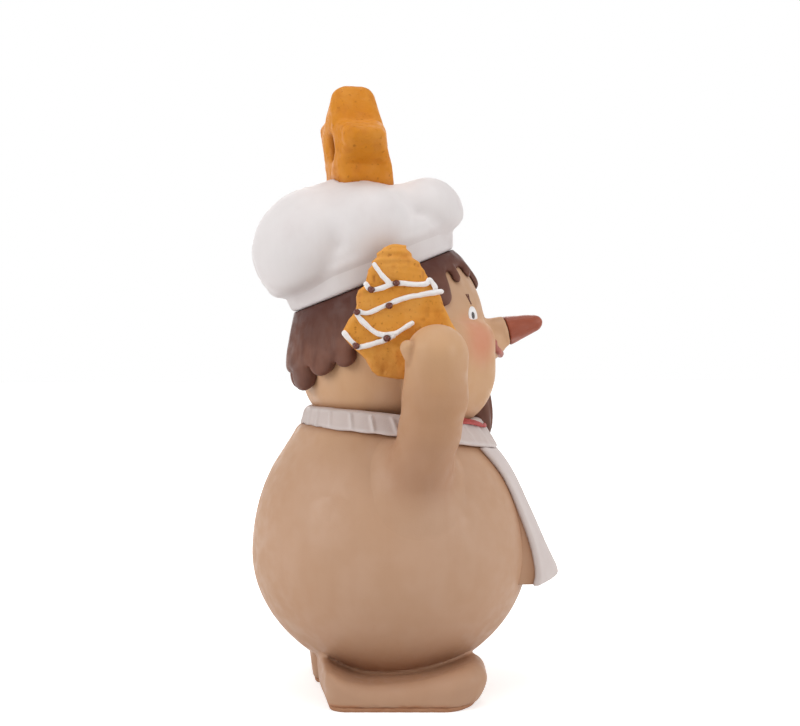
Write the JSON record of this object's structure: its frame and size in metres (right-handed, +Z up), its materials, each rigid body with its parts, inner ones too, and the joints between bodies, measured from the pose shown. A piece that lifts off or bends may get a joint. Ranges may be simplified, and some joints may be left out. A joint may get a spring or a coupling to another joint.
{
  "type": "gingerbread baker figurine",
  "caption": "Round gingerbread man figurine in a chef's hat and apron, with a star cookie on the hat and a tree cookie in a raised hand.",
  "frame": {"origin": "on the floor, under the axis of the torso", "axes": "+Z up, the figure faces -Y, its right hand is at -X"},
  "size_m": [0.1204, 0.1078, 0.2101],
  "materials": {
    "body_resin": "matte hand-painted gingerbread",
    "skin_resin": "matte hand-painted gingerbread with blush",
    "chocolate_resin": "satin chocolate icing",
    "hat_resin": "matte white",
    "apron_resin": "matte warm white",
    "icing_resin": "satin white icing",
    "cookie_resin": "baked cookie, browned at the edges",
    "nose_resin": "satin red-brown",
    "mouth_resin": "matte dusty red",
    "ribbon_resin": "matte red",
    "pupil_paint": "gloss dark brown",
    "sole_rubber": "matte tan",
    "dowel_wood": "bare",
    "pin_wire": "drawn wire"
  },
  "bodies": {
    "root": {"torso": "body_resin", "right_leg": "body_resin", "left_leg": "body_resin", "sole_pads": "sole_rubber", "head": "skin_resin", "nose_tip": "nose_resin", "nose_pin": "pin_wire", "eye_whites": "icing_resin", "pupils": "pupil_paint", "mouth": "mouth_resin", "beard": "chocolate_resin", "hair": "chocolate_resin", "hat_band": "hat_resin", "hat_crown": "hat_resin", "hat_dowel": "dowel_wood", "star_cookie": "cookie_resin", "star_pins": "pin_wire", "right_arm": "skin_resin", "left_arm": "skin_resin", "tree_cookie": "cookie_resin", "tree_icing": "icing_resin", "chocolate_beads": "chocolate_resin", "cookie_pin": "pin_wire", "neck_ruffle": "apron_resin", "apron": "apron_resin", "apron_backing": "body_resin", "bow_wings": "ribbon_resin", "bow_knot": "ribbon_resin"}
  },
  "joints": []
}
